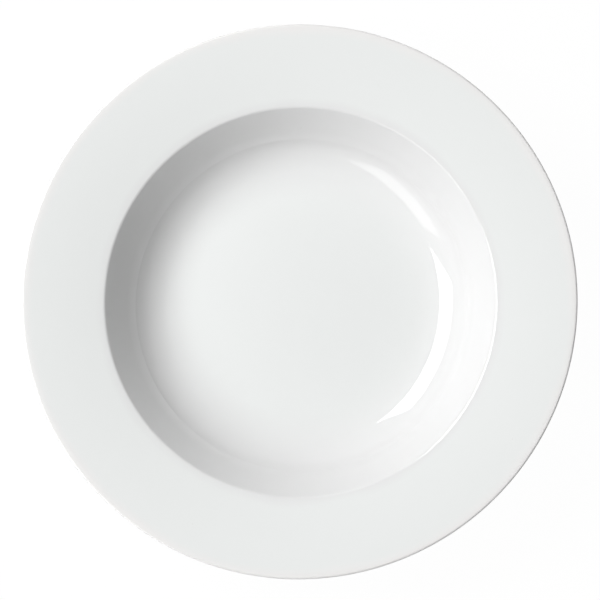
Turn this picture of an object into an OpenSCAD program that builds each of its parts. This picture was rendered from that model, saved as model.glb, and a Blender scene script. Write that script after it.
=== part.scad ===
// Rimmed soup plate: one turned porcelain body and the glaze on it.
// The glazed section is a single chain of corners. It runs from the middle of the foot well, over the foot
// ring, out along the underside, round the lip and back over the rim, the wall and the cove to the middle of
// the floor. The bare body is the same chain drawn in by the glaze's thickness, so that the glaze is equally
// thick on every flat and round every corner. The standing edge of the foot ring is wiped bare, which parts
// the glaze inside the foot ring from the glaze on the rest of the plate.

/* [Rim] */
// Diameter of the plate over its lip
plate_d = 230; // [200:1:270]
// Width of the rim, from the lip to the edge of the well
rim_w = 32.7; // [24:0.1:42]
// Upward slope of the rim, in degrees
rim_slope = 13.5; // [6:0.5:18]
// Thickness of the rim where it leaves the well
rim_t = 4.6; // [3.8:0.1:6]
// Thickness of the rim at the lip
lip_t = 3.6; // [2.8:0.1:5]
// Rounding of the lip, above and below
lip_r = 0.8; // [0.5:0.1:1.6]
// Width of the outermost rim, which rolls over slightly towards the lip
roll_w = 2; // [1.2:0.1:4]
// Turn of that roll, in degrees
roll_turn = 5; // [1:0.5:8]
// Radius of that roll
roll_r = 14; // [5:1:20]

/* [Well] */
// Rounding of the edge between the rim and the well
well_edge_r = 3; // [1.5:0.1:6]
// Slope of the well's straight wall, in degrees
wall_slope = 56; // [48:0.5:62]
// Horizontal run of the straight wall
wall_run = 13; // [10:0.5:18]
// Thickness of the wall and of the cove
wall_t = 4.6; // [3.6:0.1:6]
// Slope that the cove reaches at its top, in degrees
cove_slope = 44; // [38:0.5:50]
// Length of the straight land above the cove, up to the crease
crease_land = 0.8; // [0.5:0.1:2]
// Rounding of the crease
crease_r = 4; // [2:0.5:10]
// How much flatter than the rest the wall is just above the crease, in degrees
bend_turn = 16.5; // [8:0.5:20]
// Horizontal distance from the crease to the middle of the bend that makes up for it
bend_run = 3.4; // [2.4:0.1:4.4]
// Radius of that bend
bend_r = 28; // [10:1:60]
// Radius of the cove between the wall and the floor
cove_r = 25; // [20:0.5:30]
// Slope at which the cove's foot gives way to a slower blend into the floor, in degrees
blend_turn = 12; // [8:0.5:16]
// Radius of that blend
blend_r = 45; // [35:1:70]

/* [Floor] */
// Thickness of the floor in its middle
floor_t = 4.8; // [3.8:0.1:6.5]
// Radius of the slight crown that keeps the fired floor from sagging
crown_r = 2000; // [1200:50:5000]
// Radius of the flat middle of the floor and of the foot well
flat_r = 5; // [3:0.5:12]

/* [Foot ring] */
// Distance from the edge of the well in to the foot ring's standing edge
foot_in = 24.3; // [20:0.1:29]
// Width of the foot ring at its standing edge
foot_w = 2.8; // [2:0.1:4]
// Height of the foot well above the table, just inside the foot ring
foot_h = 2.7; // [2:0.1:4]
// Lean of the foot ring's two sides from upright, in degrees
foot_draft = 12; // [5:1:20]
// Rounding of the standing edge, inside and outside
foot_edge_r = 0.8; // [0.5:0.1:1.2]
// Rounding where the foot ring runs into the underside
foot_root_r = 2; // [1:0.1:3]

/* [Glaze] */
// Thickness of the glaze
glaze_t = 0.3; // [0.2:0.05:0.4]
// Height at which the glaze stops above the table
bare_h = 0.9; // [0.7:0.05:1.4]

/* [Hidden] */

// Facets in a full turn
turn_facets = 180;
// Largest turn of one flat in a rounded corner, in degrees, and the fewest flats in a corner
arc_step = 3;
fewest_flats = 4;
// The most of its flat that a rounded edge may take up
edge_share = 0.42;
root_share = 0.95;
bend_share = 0.93;

// Radii of the main rings, from the lip inwards
plate_r = plate_d / 2;
well_r = plate_r - rim_w;
wall_foot_r = well_r - wall_run;
foot_r = well_r - foot_in;
foot_inner_r = foot_r - foot_w;

// The crown of the floor dips by crown_turn, the blend turns up to blend_turn and the cove to cove_slope
cove_mid_r = wall_foot_r - crease_land * cos(cove_slope) - cove_r * sin(cove_slope);
blend_mid_r = cove_mid_r - (blend_r - cove_r) * sin(blend_turn);
crown_turn = asin((blend_mid_r - flat_r) / (crown_r + blend_r));

// Foot well: its ceiling follows the floor's crown, and rises by it from the foot ring to the middle
ceiling_r = foot_inner_r - foot_h * tan(foot_draft) - 2 * foot_root_r;
ceiling_turn = asin((ceiling_r - flat_r) / crown_r);
ceiling_z = foot_h + crown_r * (1 - cos(ceiling_turn));

// Heights above the table, from the floor up to the lip
floor_z = ceiling_z + floor_t;
blend_mid_z = floor_z - crown_r * (1 - cos(crown_turn)) + blend_r * cos(crown_turn);
cove_mid_z = blend_mid_z - (blend_r - cove_r) * cos(blend_turn);
crease_z = cove_mid_z - cove_r * cos(cove_slope) + crease_land * sin(cove_slope);
bend_z = crease_z + bend_run * tan(wall_slope - bend_turn);
well_z = bend_z + (wall_run - bend_run) * tan(wall_slope);
roll_z = well_z + (rim_w - roll_w) * tan(rim_slope);
plate_h = roll_z + roll_w * tan(rim_slope - roll_turn);

// Rounded edges, limited by the flats that carry them
lip_round = min(lip_r, lip_t * edge_share);
foot_edge_round = min(foot_edge_r, foot_w * edge_share);
foot_root_round = min(foot_root_r, (foot_h - bare_h) * root_share);
bend_length = bend_run / cos(wall_slope - bend_turn);
bend_round = min(bend_r, bend_length * bend_share / tan(bend_turn / 2));

// Top of the plate: where the crown ends, where the blend ends, and the crease
floor_edge = [blend_mid_r - blend_r * sin(crown_turn), blend_mid_z - blend_r * cos(crown_turn)];
blend_edge = on_cove(cove_r, blend_turn);
crease = [wall_foot_r, crease_z];

// Underside: it lies a wall's thickness under the well's wall, and under the cove at the foot ring
under_wall = [well_r, well_z] + wall_t * [sin(wall_slope), -cos(wall_slope)];
under_rim_slope = atan2(plate_h - lip_t - well_z + rim_t, rim_w);
under_lip = [plate_r, plate_h - lip_t];

// Foot ring: its outer side rises until it meets the underside of the cove
foot_side = [sin(foot_draft), cos(foot_draft)];
foot_from_cove = [foot_r - cove_mid_r, -cove_mid_z];
side_offset = cross(foot_side, foot_from_cove);
side_run = -foot_side * foot_from_cove - sqrt(pow(cove_r + wall_t, 2) - side_offset * side_offset);
foot_root = [foot_r, 0] + side_run * foot_side;
root_turn = atan2(foot_root.x - cove_mid_r, cove_mid_z - foot_root.y);

// Underside: one arc from the end of the foot ring's root rounding to the wall
root_reach = foot_root_round * tan((90 - foot_draft - root_turn) / 2);
under_corner = corner(foot_root, root_turn, under_wall, wall_slope, 0);
under_run = norm([under_corner.x, under_corner.y] - foot_root) - root_reach;
under_r = under_run / tan((wall_slope - root_turn) / 2);

// Directions of the foot ring's sides, and the edge of the foot well's ceiling
foot_outer_side = 90 - foot_draft;
foot_inner_side = 90 + foot_draft;
ceiling_edge = [ceiling_r, foot_h];

// The glazed section, as corners of [radius, height, rounding]
foot_well_corners = [
    [0, ceiling_z, 0],
    [flat_r + crown_r * tan(ceiling_turn / 2), ceiling_z, crown_r],
    corner([foot_inner_r, 0], foot_inner_side, ceiling_edge, -ceiling_turn, foot_root_round),
    corner([foot_inner_r, 0], foot_inner_side, [0, bare_h], 0, 0)
];
standing_corners = [
    corner([foot_inner_r, 0], foot_inner_side, [0, -glaze_t], 0, foot_edge_round),
    corner([foot_r, 0], foot_outer_side, [0, -glaze_t], 0, foot_edge_round)
];
coat_corners = [
    corner([foot_r, 0], foot_outer_side, [0, bare_h], 0, 0),
    corner([foot_r, 0], foot_outer_side, foot_root, root_turn, foot_root_round),
    [under_corner.x, under_corner.y, under_r],
    corner(under_wall, wall_slope, under_lip, under_rim_slope, well_edge_r + rim_t),
    [under_lip.x, under_lip.y, lip_round],
    [plate_r, plate_h, lip_round],
    [plate_r - roll_w, roll_z, roll_r],
    [well_r, well_z, well_edge_r],
    [wall_foot_r + bend_run, bend_z, bend_round],
    [crease.x, crease.y, crease_r],
    corner(crease, cove_slope, blend_edge, blend_turn, cove_r),
    corner(blend_edge, blend_turn, floor_edge, -crown_turn, blend_r),
    [flat_r + crown_r * tan(crown_turn / 2), floor_z, crown_r],
    [0, floor_z, 0]
];
section_corners = concat(foot_well_corners, standing_corners, coat_corners);

// Point at a turn round the centre of the cove
function on_cove(radius, turn) = [cove_mid_r + radius * sin(turn), cove_mid_z - radius * cos(turn)];

// Corner where a line through p at one slope crosses a line through q at another
function corner(p, p_slope, q, q_slope, rounding) =
    let (
        along = [cos(p_slope), sin(p_slope)],
        across = [cos(q_slope), sin(q_slope)],
        at = p + along * cross(q - p, across) / cross(along, across)
    )
    [at.x, at.y, rounding];

// Direction from one corner to the next, and the bend between two directions, left positive
function heading(a, b) = atan2(b.y - a.y, b.x - a.x);
function bend(from, to) = to - from - 360 * round((to - from) / 360);

// Points that round corner b between its neighbours a and c
function arc_points(a, b, c) =
    let (
        start = heading(a, b),
        turn = bend(start, heading(b, c)),
        radius = b.z * sign(turn),
        reach = radius * tan(turn / 2),
        middle = [b.x, b.y] - reach * [cos(start), sin(start)] + radius * [-sin(start), cos(start)],
        flats = max(fewest_flats, ceil(abs(turn) / arc_step))
    )
    [for (i = [0:flats]) middle + radius * [sin(start + turn * i / flats), -cos(start + turn * i / flats)]];

// A chain of corners as points, with every rounding drawn
function rounded(chain) = [
    for (i = [0:len(chain) - 1])
        each chain[i].z == 0 ? [[chain[i].x, chain[i].y]] : arc_points(chain[i - 1], chain[i], chain[i + 1])
];

// A chain moved into the material by a depth: outer roundings shrink and inner ones grow by it
function drawn_in(chain, depth) =
    let (last = len(chain) - 1)
    [
        for (i = [0:last])
            let (
                from = heading(chain[max(i, 1) - 1], chain[max(i, 1)]),
                turn = bend(from, heading(chain[min(i, last - 1)], chain[min(i, last - 1) + 1])),
                reach = depth / cos(turn / 2),
                facing = from + turn / 2
            )
            [
                chain[i].x - reach * sin(facing),
                chain[i].y + reach * cos(facing),
                chain[i].z == 0 ? 0 : chain[i].z - depth * sign(turn)
            ]
    ];

function reversed(list) = [for (i = [len(list) - 1:-1:0]) list[i]];

// Section of the glaze that lies on a chain
function glaze_points(chain) = concat(rounded(chain), reversed(rounded(drawn_in(chain, glaze_t))));

module turned(points) {
    rotate_extrude($fn = turn_facets) polygon(points);
}

// Fired body: rim, wall, cove, floor and foot ring in one
module porcelain_body() {
    color("ivory") turned(rounded(drawn_in(section_corners, glaze_t)));
}

// Glaze over the top, round the lip and down the underside to the outer side of the foot ring
module glaze_coat() {
    color("whitesmoke") turned(glaze_points(coat_corners));
}

// Glaze inside the foot ring
module foot_well_glaze() {
    color("whitesmoke") turned(glaze_points(foot_well_corners));
}

porcelain_body();
glaze_coat();
foot_well_glaze();
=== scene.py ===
# Rimmed soup plate on a white floor: the glazed coat, the bare porcelain body and the glaze in the foot well.
from math import asin, atan2, ceil, cos, pi, radians, sin, sqrt, tan
import bmesh
import bpy
from mathutils import Matrix, Vector


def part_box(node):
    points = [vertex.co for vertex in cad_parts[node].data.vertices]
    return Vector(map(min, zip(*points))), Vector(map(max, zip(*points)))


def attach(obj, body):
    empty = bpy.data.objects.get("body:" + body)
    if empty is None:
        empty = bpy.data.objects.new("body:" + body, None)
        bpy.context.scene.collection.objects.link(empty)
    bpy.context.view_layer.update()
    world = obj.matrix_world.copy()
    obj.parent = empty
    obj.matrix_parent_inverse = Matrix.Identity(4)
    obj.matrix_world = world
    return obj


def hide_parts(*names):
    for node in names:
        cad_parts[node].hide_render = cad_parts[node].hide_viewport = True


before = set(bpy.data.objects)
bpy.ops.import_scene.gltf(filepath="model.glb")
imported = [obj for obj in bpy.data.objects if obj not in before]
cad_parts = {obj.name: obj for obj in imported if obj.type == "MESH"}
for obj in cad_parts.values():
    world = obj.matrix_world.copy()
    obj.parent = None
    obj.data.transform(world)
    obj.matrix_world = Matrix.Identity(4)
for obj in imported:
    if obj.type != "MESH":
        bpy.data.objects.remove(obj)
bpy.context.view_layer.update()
mm = 0.001
onePointMm = 0.001       # points of the section that lie closer than this are one point
mergeMm = 0.0005         # vertices of the turned mesh that lie closer than this are joined
print("frame loaded:", ", ".join(sorted(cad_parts)))


def fromHex(code):
    # sRGB hex to linear, with alpha
    parts = [int(code[i:i + 2], 16) / 255 for i in (1, 3, 5)]
    return tuple(c / 12.92 if c <= 0.04045 else ((c + 0.055) / 1.055) ** 2.4 for c in parts) + (1,)


def addNode(tree, kind, settings=None, links=None):
    # one node, with its settings or socket values, and the sockets that feed it
    made = tree.nodes.new(kind)
    for name, value in (settings or {}).items():
        if isinstance(name, str) and name in made.bl_rna.properties:
            setattr(made, name, value)
        else:
            made.inputs[name].default_value = value
    for name, socket in (links or {}).items():
        tree.links.new(socket, made.inputs[name])
    return made


def fillRamp(node, stops):
    # a colour ramp's stops, each a position and an sRGB hex code
    first, last = node.color_ramp.elements
    first.position, first.color = stops[0][0], fromHex(stops[0][1])
    last.position, last.color = stops[-1][0], fromHex(stops[-1][1])
    for position, code in stops[1:-1]:
        node.color_ramp.elements.new(position).color = fromHex(code)


# ---- the turned section, in millimetres and degrees, as it was drawn for the solids
plate = {
    "lipRadius": 115, "rimWidth": 32.7, "rimSlope": 13.5, "rimThick": 4.6, "lipThick": 3.6, "lipRound": 0.8,
    "rollWidth": 2, "rollTurn": 5, "rollRadius": 14,
    "wellEdgeRound": 3, "wallSlope": 56, "wallRun": 13, "wallThick": 4.6,
    "bendTurn": 16.5, "bendRun": 3.4,
    "coveSlope": 44, "creaseLand": 0.8, "coveRadius": 25,
    "blendTurn": 12, "blendRadius": 45,
    "floorThick": 4.8, "crownRadius": 2000, "flatRadius": 5,
    "footIn": 24.3, "footWidth": 2.8, "footHeight": 2.7, "footDraft": 12, "footEdgeRound": 0.8, "footRootRound": 1.71,
    "ceilingInset": 4,
    "glazeThick": 0.3, "bareHeight": 0.9,
    "stepsRound": 256,       # steps of the full spin
    "arcStep": 3.0,          # degrees of one step in a rounded corner
    "fewestSteps": 4,        # steps of the smallest rounded corner
    "beadSteps": 8,          # steps of the bead at a glaze layer's free edge
}

# The upper side as the photograph shows it, of glaze and body alike, within 0.8 mm of the solids: the cove
# tightens into a heel, so that the crease at the foot of the wall is crisp, and the wall's edge lies further in.
glazedTop = {
    "edgeRadius": 81.2, "edgeRound": 2.2, "wallSlope": 56, "bendTurn": 10.5, "bendRun": 2.2, "bendRadius": 22,
    "creaseRadius": 69.75, "creaseLand": 0.3, "creaseRound": 1, "heelSlope": 53.5, "heelRadius": 17,
    "coveTurn": 31, "coveRadius": 25.5, "blendTurn": 12, "blendRadius": 45,
}


def along(slope):
    return Vector((cos(radians(slope)), sin(radians(slope))))


def crossing(p, pSlope, q, qSlope, rounding):
    # the corner where two lines of the section cross
    u, v = along(pSlope), along(qSlope)
    at = p + u * ((q - p).cross(v) / u.cross(v))
    return (at.x, at.y, rounding)


def topCorners(t, s, floorZ):
    # the glaze's upper side from the edge of the well in to the middle: wall, crease, heel, cove, blend and crown
    def off(radius, slope):
        return radius * Vector((sin(radians(slope)), -cos(radians(slope))))

    heelEnd = t["creaseRadius"] - t["creaseLand"] * cos(radians(t["heelSlope"]))
    heelMid = Vector((heelEnd - off(t["heelRadius"], t["heelSlope"]).x, 0))
    coveMid = heelMid - off(t["coveRadius"] - t["heelRadius"], t["coveTurn"])
    blendMid = coveMid - off(t["blendRadius"] - t["coveRadius"], t["blendTurn"])
    crownTurn = asin((blendMid.x - s["flatRadius"]) / (s["crownRadius"] + t["blendRadius"]))
    lift = floorZ - s["crownRadius"] * (1 - cos(crownTurn)) + t["blendRadius"] * cos(crownTurn) - blendMid.y
    for mid in (heelMid, coveMid, blendMid):
        mid.y += lift
    floorEdge = blendMid + off(t["blendRadius"], -crownTurn * 180 / pi)
    blendEdge = blendMid + off(t["blendRadius"], t["blendTurn"])
    coveEdge = coveMid + off(t["coveRadius"], t["coveTurn"])
    crease = heelMid + off(t["heelRadius"], t["heelSlope"]) + t["creaseLand"] * along(t["heelSlope"])
    bendR = t["creaseRadius"] + t["bendRun"]
    bendZ = crease.y + t["bendRun"] * tan(radians(t["wallSlope"] - t["bendTurn"]))
    return [
        (t["edgeRadius"], bendZ + (t["edgeRadius"] - bendR) * tan(radians(t["wallSlope"])), t["edgeRound"]),
        (bendR, bendZ, t["bendRadius"]),
        (crease.x, crease.y, t["creaseRound"]),
        crossing(crease, t["heelSlope"], coveEdge, t["coveTurn"], t["heelRadius"]),
        crossing(coveEdge, t["coveTurn"], blendEdge, t["blendTurn"], t["coveRadius"]),
        crossing(blendEdge, t["blendTurn"], floorEdge, -crownTurn * 180 / pi, t["blendRadius"]),
        (s["flatRadius"] + s["crownRadius"] * tan(crownTurn / 2), floorZ, s["crownRadius"]),
        (0, floorZ, 0),
    ]


def sectionCorners(s, t):
    # corners of (radius, height, rounding): the foot well, the standing edge, and the coat, which goes from the
    # foot ring round the lip to the middle of the well
    wellR = s["lipRadius"] - s["rimWidth"]
    creaseR = wellR - s["wallRun"]
    footR = wellR - s["footIn"]
    footInnerR = footR - s["footWidth"]
    coveSlope = radians(s["coveSlope"])
    coveMidR = creaseR - s["creaseLand"] * cos(coveSlope) - s["coveRadius"] * sin(coveSlope)
    blendTurn = radians(s["blendTurn"])
    blendMidR = coveMidR - (s["blendRadius"] - s["coveRadius"]) * sin(blendTurn)
    crownTurn = asin((blendMidR - s["flatRadius"]) / (s["crownRadius"] + s["blendRadius"]))
    ceilingR = footInnerR - s["footHeight"] * tan(radians(s["footDraft"])) - s["ceilingInset"]
    ceilingTurn = asin((ceilingR - s["flatRadius"]) / s["crownRadius"])
    ceilingZ = s["footHeight"] + s["crownRadius"] * (1 - cos(ceilingTurn))
    floorZ = ceilingZ + s["floorThick"]
    blendMid = Vector((blendMidR, floorZ - s["crownRadius"] * (1 - cos(crownTurn)) + s["blendRadius"] * cos(crownTurn)))
    coveMid = Vector((coveMidR, blendMid.y - (s["blendRadius"] - s["coveRadius"]) * cos(blendTurn)))
    creaseZ = coveMid.y - s["coveRadius"] * cos(coveSlope) + s["creaseLand"] * sin(coveSlope)
    bendZ = creaseZ + s["bendRun"] * tan(radians(s["wallSlope"] - s["bendTurn"]))
    wellZ = bendZ + (s["wallRun"] - s["bendRun"]) * tan(radians(s["wallSlope"]))
    rollZ = wellZ + (s["rimWidth"] - s["rollWidth"]) * tan(radians(s["rimSlope"]))
    lipZ = rollZ + s["rollWidth"] * tan(radians(s["rimSlope"] - s["rollTurn"]))

    # the underside lies a wall's thickness under the well's wall, and under the cove at the foot ring
    wall = along(s["wallSlope"])
    underWall = Vector((wellR, wellZ)) + s["wallThick"] * Vector((wall.y, -wall.x))
    underLip = Vector((s["lipRadius"], lipZ - s["lipThick"]))
    underRimSlope = atan2(underLip.y - wellZ + s["rimThick"], s["rimWidth"]) * 180 / pi
    foot, footInner = Vector((footR, 0)), Vector((footInnerR, 0))
    side = along(90 - s["footDraft"])
    offset = side.cross(foot - coveMid)
    root = foot + side * (-side.dot(foot - coveMid) - sqrt((s["coveRadius"] + s["wallThick"]) ** 2 - offset ** 2))
    rootTurn = atan2(root.x - coveMid.x, coveMid.y - root.y) * 180 / pi
    rootReach = s["footRootRound"] * tan(radians(90 - s["footDraft"] - rootTurn) / 2)
    underCorner = Vector(crossing(root, rootTurn, underWall, s["wallSlope"], 0)[:2])
    underRadius = ((underCorner - root).length - rootReach) / tan(radians(s["wallSlope"] - rootTurn) / 2)
    outer, inner = 90 - s["footDraft"], 90 + s["footDraft"]
    stop = Vector((0, s["bareHeight"]))
    stand = Vector((0, -s["glazeThick"]))

    footWell = [
        (0, ceilingZ, 0),
        (s["flatRadius"] + s["crownRadius"] * tan(ceilingTurn / 2), ceilingZ, s["crownRadius"]),
        crossing(footInner, inner, Vector((ceilingR, s["footHeight"])), -ceilingTurn * 180 / pi, s["footRootRound"]),
        crossing(footInner, inner, stop, 0, 0),
    ]
    standing = [
        crossing(footInner, inner, stand, 0, s["footEdgeRound"]),
        crossing(foot, outer, stand, 0, s["footEdgeRound"]),
    ]
    coat = [
        crossing(foot, outer, stop, 0, 0),
        crossing(foot, outer, root, rootTurn, s["footRootRound"]),
        (underCorner.x, underCorner.y, underRadius),
        crossing(underWall, s["wallSlope"], underLip, underRimSlope, s["wellEdgeRound"] + s["rimThick"]),
        (underLip.x, underLip.y, s["lipRound"]),
        (s["lipRadius"], lipZ, s["lipRound"]),
        (s["lipRadius"] - s["rollWidth"], rollZ, s["rollRadius"]),
    ] + topCorners(t, s, floorZ)
    return footWell, standing, coat


def headingOf(a, b):
    return atan2(b[1] - a[1], b[0] - a[0])


def bendOf(start, end):
    return (end - start + pi) % (2 * pi) - pi


def drawnIn(corners, depth):
    # the same chain moved into the ware: outer roundings shrink and inner ones grow
    moved = []
    last = len(corners) - 1
    for i, (r, z, rounding) in enumerate(corners):
        start = headingOf(corners[max(i, 1) - 1], corners[max(i, 1)])
        turn = bendOf(start, headingOf(corners[min(i, last - 1)], corners[min(i, last - 1) + 1]))
        reach, facing = depth / cos(turn / 2), start + turn / 2
        grown = rounding - depth * (1 if turn > 0 else -1) if rounding else 0
        moved.append((r - reach * sin(facing), z + reach * cos(facing), grown))
    return moved


# the pen draws the section in the XZ plane: a straight extrudes its tip, and an arc spins it
def straightTo(bm, tip, point):
    target = Vector((point[0] * mm, 0, point[1] * mm))
    if (target - tip.co).length < onePointMm * mm:
        return tip
    new = bmesh.ops.extrude_vert_indiv(bm, verts=[tip])["verts"][0]
    bmesh.ops.translate(bm, verts=[new], vec=target - tip.co)
    return new


def arcAbout(bm, tip, centre, turn, steps):
    made = bmesh.ops.spin(bm, geom=[tip], cent=Vector((centre[0] * mm, 0, centre[1] * mm)), axis=(0, -1, 0),
                          dvec=(0, 0, 0), angle=turn, steps=steps, use_duplicate=False)
    return [v for v in made["geom_last"] if isinstance(v, bmesh.types.BMVert)][0]


def followCorners(bm, tip, corners, s):
    # corners without rounding are met, the others are cut by an arc that touches both of their sides
    for i, corner in enumerate(corners):
        if not corner[2]:
            tip = straightTo(bm, tip, corner)
            continue
        start = headingOf(corners[i - 1], corner)
        turn = bendOf(start, headingOf(corner, corners[i + 1]))
        radius = corner[2] * (1 if turn > 0 else -1)
        ahead = Vector((cos(start), sin(start)))
        touch = Vector(corner[:2]) - ahead * (radius * tan(turn / 2))
        centre = touch + radius * Vector((-ahead.y, ahead.x))
        tip = straightTo(bm, tip, touch)
        tip = arcAbout(bm, tip, centre, turn, max(s["fewestSteps"], ceil(abs(turn) / radians(s["arcStep"]))))
    return tip


def turnOnAxis(name, bm, steps):
    # spins the finished section round the plate's axis and closes the seam and both poles
    bmesh.ops.spin(bm, geom=bm.verts[:] + bm.edges[:], cent=(0, 0, 0), axis=(0, 0, 1), dvec=(0, 0, 0),
                   angle=2 * pi, steps=steps, use_merge=True, use_duplicate=False)
    bmesh.ops.remove_doubles(bm, verts=bm.verts[:], dist=mergeMm * mm)
    bmesh.ops.recalc_face_normals(bm, faces=bm.faces[:])
    for face in bm.faces:
        face.smooth = True
    mesh = bpy.data.meshes.new(name)
    bm.to_mesh(mesh)
    bm.free()
    piece = bpy.data.objects.new(name, mesh)
    bpy.context.scene.collection.objects.link(piece)
    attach(piece, "root")
    print(name, "turned:", len(mesh.polygons), "faces")
    return piece


def glazeLayer(name, outside, s, outward):
    # a layer of even thickness between two poles, its free edge at the foot ring rounded as fired glaze stops
    inside = drawnIn(outside, s["glazeThick"])
    bm = bmesh.new()
    if outward:      # from the axis out along the ware, round the free edge, and back along the air side
        path, back = inside, outside[::-1]
    else:            # from the axis along the ware to the free edge, and back along the air side
        path, back = inside[::-1], outside
    tip = bmesh.ops.create_vert(bm, co=(path[0][0] * mm, 0, path[0][1] * mm))["vert"][0]
    tip = followCorners(bm, tip, path, s)
    bead = (Vector(path[-1][:2]) + Vector(back[0][:2])) / 2
    tip = arcAbout(bm, tip, bead, pi if outward else -pi, s["beadSteps"])
    followCorners(bm, tip, back, s)
    return turnOnAxis(name, bm, s["stepsRound"])


footWellCorners, standingCorners, coatCorners = sectionCorners(plate, glazedTop)

# glazed porcelain coat
glazeCoat = glazeLayer("glazed_coat", coatCorners, plate, False)
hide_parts("glaze_coat")

# glaze inside the foot ring
footWellGlaze = glazeLayer("glazed_foot_well", footWellCorners, plate, True)
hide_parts("foot_well_glaze")

# bare body, which shows only where the plate stands
bodyCorners = drawnIn(footWellCorners + standingCorners + coatCorners, plate["glazeThick"])
bodySection = bmesh.new()
bodyStart = bmesh.ops.create_vert(bodySection, co=(0, 0, bodyCorners[0][1] * mm))["vert"][0]
followCorners(bodySection, bodyStart, bodyCorners, plate)
body = turnOnAxis("bare_body", bodySection, plate["stepsRound"])
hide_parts("porcelain_body")

for piece, node in ((glazeCoat, "glaze_coat"), (footWellGlaze, "foot_well_glaze"), (body, "porcelain_body")):
    low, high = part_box(node)
    heights = [v.co.z for v in piece.data.vertices]
    reach = max(v.co.x for v in piece.data.vertices)
    print(piece.name, "box off the solid's by", round((reach - high[0]) / mm, 4),
          round((min(heights) - low[2]) / mm, 4), round((max(heights) - high[2]) / mm, 4), "mm")

# ---- finishes
# Clear glaze over white hard-paste porcelain, fired to 1400 C: a hard, wet gloss over a cool, faintly green white, with
# painted shade that darkens and greys the cove and the wall, painted light that lifts the rim a little, a slow ripple,
# a fine orange peel and a rare dark speck.
glazeFinish = {
    # whites of the well, the wall, the rim and the lip, each at its share of the lip's radius: the glaze's own faint
    # green, painted shade that darkens and greys the cove and the wall, painted light that lifts the rim a little, and
    # a touch warmer at the lip
    "rings": ((0.40, "#E8EAE9"), (0.60, "#E4E4E4"), (0.70, "#E4E4E4"),
              (0.74, "#E9EBEA"), (0.96, "#E9EBEA"), (0.99, "#ECEBEA")),
    "cloudMm": 30, "cloudShift": 0.04,            # slow cloudiness, and how far it moves the whites in and out
    "roughness": 0.035, "ior": 1.5,
    "rippleMm": 16, "rippleHighMm": 0.012,        # slow ripple left by the forming roller
    "peelMm": 1.6, "peelHighMm": 0.0012,          # orange peel of the fired glaze
    "speckHex": "#B5ADA2", "speckCellMm": 11, "speckMm": 0.2, "speckShare": 0.012, "speckDark": 0.6,
}


def porcelainGlaze(name, f):
    material = bpy.data.materials.new(name)
    material.use_nodes = True
    tree = material.node_tree
    shader = tree.nodes["Principled BSDF"]
    place = addNode(tree, "ShaderNodeTexCoord").outputs["Object"]
    flat = addNode(tree, "ShaderNodeVectorMath", {"operation": "MULTIPLY", 1: (1, 1, 0)}, {0: place})
    reach = addNode(tree, "ShaderNodeVectorMath", {"operation": "LENGTH"}, {0: flat.outputs[0]})
    share = addNode(tree, "ShaderNodeMath", {"operation": "DIVIDE", 1: plate["lipRadius"] * mm},
                    {0: reach.outputs["Value"]})

    # whites from the middle of the well out to the lip, with the painted shade of the cove and the wall and the painted
    # light of the rim, unsettled by a slow cloudiness
    cloud = addNode(tree, "ShaderNodeTexNoise", {"Scale": 1 / (f["cloudMm"] * mm), "Detail": 2}, {"Vector": place})
    stray = addNode(tree, "ShaderNodeMath", {"operation": "MULTIPLY_ADD", 1: f["cloudShift"], 2: -f["cloudShift"] / 2},
                    {0: cloud.outputs["Fac"]})
    ringed = addNode(tree, "ShaderNodeMath", {"operation": "ADD"}, {0: share.outputs[0], 1: stray.outputs[0]})
    whites = addNode(tree, "ShaderNodeValToRGB", {}, {"Fac": ringed.outputs[0]})
    fillRamp(whites, f["rings"])

    # fine dark specks, on the top in about one cell of eighty
    cells = addNode(tree, "ShaderNodeTexVoronoi", {"voronoi_dimensions": "2D", "Scale": 1 / (f["speckCellMm"] * mm)},
                    {"Vector": flat.outputs[0]})
    chosen = addNode(tree, "ShaderNodeSeparateColor", {}, {"Color": cells.outputs["Color"]})
    rare = addNode(tree, "ShaderNodeMath", {"operation": "LESS_THAN", 1: f["speckShare"]}, {0: chosen.outputs[0]})
    dotReach = f["speckMm"] / f["speckCellMm"]
    dot = addNode(tree, "ShaderNodeMapRange",
                  {"From Min": 0, "From Max": dotReach, "To Min": f["speckDark"], "To Max": 0},
                  {"Value": cells.outputs["Distance"]})
    speck = addNode(tree, "ShaderNodeMath", {"operation": "MULTIPLY"}, {0: rare.outputs[0], 1: dot.outputs[0]})
    colour = addNode(tree, "ShaderNodeMix", {"data_type": "RGBA"}, {0: speck.outputs[0], 6: whites.outputs["Color"]})
    colour.inputs[7].default_value = fromHex(f["speckHex"])
    tree.links.new(colour.outputs[2], shader.inputs["Base Color"])

    ripple = addNode(tree, "ShaderNodeTexNoise", {"Scale": 1 / (f["rippleMm"] * mm), "Detail": 1}, {"Vector": place})
    peel = addNode(tree, "ShaderNodeTexNoise", {"Scale": 1 / (f["peelMm"] * mm), "Detail": 2}, {"Vector": place})
    slow = addNode(tree, "ShaderNodeBump", {"Strength": 1, "Distance": f["rippleHighMm"] * mm},
                   {"Height": ripple.outputs["Fac"]})
    fine = addNode(tree, "ShaderNodeBump", {"Strength": 1, "Distance": f["peelHighMm"] * mm},
                   {"Height": peel.outputs["Fac"], "Normal": slow.outputs["Normal"]})
    tree.links.new(fine.outputs["Normal"], shader.inputs["Normal"])
    shader.inputs["Roughness"].default_value = f["roughness"]
    shader.inputs["IOR"].default_value = f["ior"]
    return material


glazeCoat.data.materials.append(porcelainGlaze("glost-fired porcelain glaze", glazeFinish))
footWellGlaze.data.materials.append(porcelainGlaze("glost-fired porcelain glaze under the foot", {
    **glazeFinish, "peelHighMm": 0.003, "speckShare": 0.05}))

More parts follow.
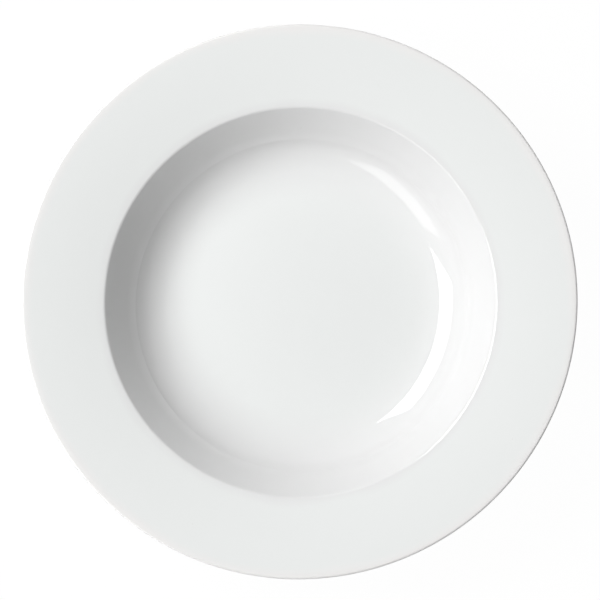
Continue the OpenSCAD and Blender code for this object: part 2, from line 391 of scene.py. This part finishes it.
# Wiped, unglazed porcelain, ground after firing: matt, a little warmer and greyer than the glaze, with fine grit
# and a faint grey rub from shelves.
bareFinish = {
    "rubMm": 9, "rub": ((0.50, "#EAE8E2"), (0.72, "#CFCDC8")),       # clean body, and rubbed from 0.72 of the noise
    "gritMm": 0.25, "gritHighMm": 0.012,         # real grit is 0.05 mm, drawn coarser so that it shows
    "roughness": 0.62, "ior": 1.5,
}


def barePorcelain(name, f):
    material = bpy.data.materials.new(name)
    material.use_nodes = True
    tree = material.node_tree
    shader = tree.nodes["Principled BSDF"]
    place = addNode(tree, "ShaderNodeTexCoord").outputs["Object"]
    rub = addNode(tree, "ShaderNodeTexNoise", {"Scale": 1 / (f["rubMm"] * mm), "Detail": 5}, {"Vector": place})
    tones = addNode(tree, "ShaderNodeValToRGB", {}, {"Fac": rub.outputs["Fac"]})
    fillRamp(tones, f["rub"])
    tree.links.new(tones.outputs["Color"], shader.inputs["Base Color"])
    grit = addNode(tree, "ShaderNodeTexNoise", {"Scale": 1 / (f["gritMm"] * mm), "Detail": 3}, {"Vector": place})
    rough = addNode(tree, "ShaderNodeBump", {"Strength": 1, "Distance": f["gritHighMm"] * mm},
                    {"Height": grit.outputs["Fac"]})
    tree.links.new(rough.outputs["Normal"], shader.inputs["Normal"])
    shader.inputs["Roughness"].default_value = f["roughness"]
    shader.inputs["IOR"].default_value = f["ior"]
    return material


body.data.materials.append(barePorcelain("wiped unglazed porcelain", bareFinish))
print("finishes made")

# ---- floor, light and camera
studio = {
    "floorHalfM": 3, "floorHex": "#F4F4F4", "floorRoughness": 0.9,
    "floorLight": 0.2,       # the board is lit a little from below, which lifts the lip's shaded side
    "floorGlow": 0.975,      # share of plain white that the camera sees in the floor
    "key": {"azimuth": -201.6, "tilt": 38.1, "distance": 1.0, "lean": 11, "roll": 0.0,
            "size": (0.681, 0.448), "radiance": 10.2},
    "side": {"azimuth": -137.2, "tilt": 52.1, "distance": 1.0, "lean": 0, "roll": -25.0,
             "size": (0.603, 0.390), "radiance": 2.3},
    "wallGlow": 0.455,       # of the walls where they are brightest
}


def whiteForCamera(tree, look, strength, share):
    # the camera and mirror-like rays see plain white, and the rest see the real shader
    rays = addNode(tree, "ShaderNodeLightPath")
    mirrored = addNode(tree, "ShaderNodeMath", {"operation": "MAXIMUM"},
                       {0: rays.outputs["Is Glossy Ray"], 1: rays.outputs["Is Transmission Ray"]})
    seen = addNode(tree, "ShaderNodeMath", {"operation": "MAXIMUM"},
                   {0: rays.outputs["Is Camera Ray"], 1: mirrored.outputs[0]})
    part = addNode(tree, "ShaderNodeMath", {"operation": "MULTIPLY", 1: share}, {0: seen.outputs[0]})
    glow = addNode(tree, "ShaderNodeEmission", {"Color": (1, 1, 1, 1), "Strength": strength})
    return addNode(tree, "ShaderNodeMixShader", {}, {0: part.outputs[0], 1: look, 2: glow.outputs[0]})


floorMesh = bmesh.new()
bmesh.ops.create_grid(floorMesh, x_segments=1, y_segments=1, size=studio["floorHalfM"])
floorData = bpy.data.meshes.new("floor")
floorMesh.to_mesh(floorData)
floorMesh.free()
floor = bpy.data.objects.new("floor", floorData)
bpy.context.scene.collection.objects.link(floor)
floorPaint = bpy.data.materials.new("white studio board")
floorPaint.use_nodes = True
floorTree = floorPaint.node_tree
floorShader = floorTree.nodes["Principled BSDF"]
floorShader.inputs["Base Color"].default_value = fromHex(studio["floorHex"])
floorShader.inputs["Roughness"].default_value = studio["floorRoughness"]
floorShader.inputs["Emission Color"].default_value = (1, 1, 1, 1)
floorShader.inputs["Emission Strength"].default_value = studio["floorLight"]
floorMix = whiteForCamera(floorTree, floorShader.outputs[0], 1.0, studio["floorGlow"])
floorTree.links.new(floorMix.outputs[0], floorTree.nodes["Material Output"].inputs["Surface"])
floorData.materials.append(floorPaint)


def softbox(name, box):
    # a flat, even panel with its long side level, aimed at the plate, then leaned back from it and rolled
    light = bpy.data.lights.new(name, "AREA")
    light.shape = "RECTANGLE"
    light.size, light.size_y = box["size"]
    light.energy = box["radiance"] * pi * light.size * light.size_y
    panel = bpy.data.objects.new(name, light)
    tilt, turn = radians(box["tilt"]), radians(box["azimuth"])
    way = Vector((sin(tilt) * cos(turn), sin(tilt) * sin(turn), cos(tilt)))
    level = Vector((-sin(turn), cos(turn), 0))
    aimed = Matrix((level, way.cross(level), way)).transposed().to_4x4()
    turned = Matrix.Rotation(radians(box["lean"]), 4, "X") @ Matrix.Rotation(radians(box["roll"]), 4, "Z")
    panel.matrix_world = Matrix.Translation(way * box["distance"]) @ aimed @ turned
    bpy.context.scene.collection.objects.link(panel)


softbox("key_softbox", studio["key"])
softbox("side_softbox", studio["side"])

# walls that light the plate from both sides along Y and fade to dark along X and overhead
world = bpy.data.worlds.new("studio walls")
bpy.context.scene.world = world
world.use_nodes = True
sky = world.node_tree
facing = addNode(sky, "ShaderNodeTexCoord")
way = addNode(sky, "ShaderNodeSeparateXYZ", {}, {0: facing.outputs["Generated"]})
across = addNode(sky, "ShaderNodeMath", {"operation": "ABSOLUTE"}, {0: way.outputs["Y"]})
kept = addNode(sky, "ShaderNodeMath", {"operation": "MULTIPLY", 1: studio["wallGlow"]}, {0: across.outputs[0]})
walls = sky.nodes["Background"]
walls.inputs["Color"].default_value = (1, 1, 1, 1)
sky.links.new(kept.outputs[0], walls.inputs["Strength"])
skyMix = whiteForCamera(sky, walls.outputs[0], 1.0, 1.0)
sky.links.new(skyMix.outputs[0], sky.nodes["World Output"].inputs["Surface"])

# the photograph's camera, fitted to the lip and the well in it
view = {"distance": 1.6, "tilt": 5.4, "azimuth": -57, "sensorMm": 36, "frameMm": 247.75, "aimMm": (0.6, 0.08, 40.1)}
lens = bpy.data.cameras.new("camera")
lens.sensor_width = view["sensorMm"]
lens.lens = view["sensorMm"] * view["distance"] / (view["frameMm"] * mm)
camera = bpy.data.objects.new("camera", lens)
tilt, turn = radians(view["tilt"]), radians(view["azimuth"])
back = Vector((sin(tilt) * cos(turn), sin(tilt) * sin(turn), cos(tilt)))
right = Vector((0, 1, 0)).cross(back).normalized()
stance = Vector(view["aimMm"]) * mm + back * view["distance"]
aimed = Matrix((right, back.cross(right), back)).transposed().to_4x4()
camera.matrix_world = Matrix.Translation(stance) @ aimed
bpy.context.scene.collection.objects.link(camera)
bpy.context.scene.camera = camera
bpy.context.scene.view_settings.view_transform = "Standard"
print("studio set")
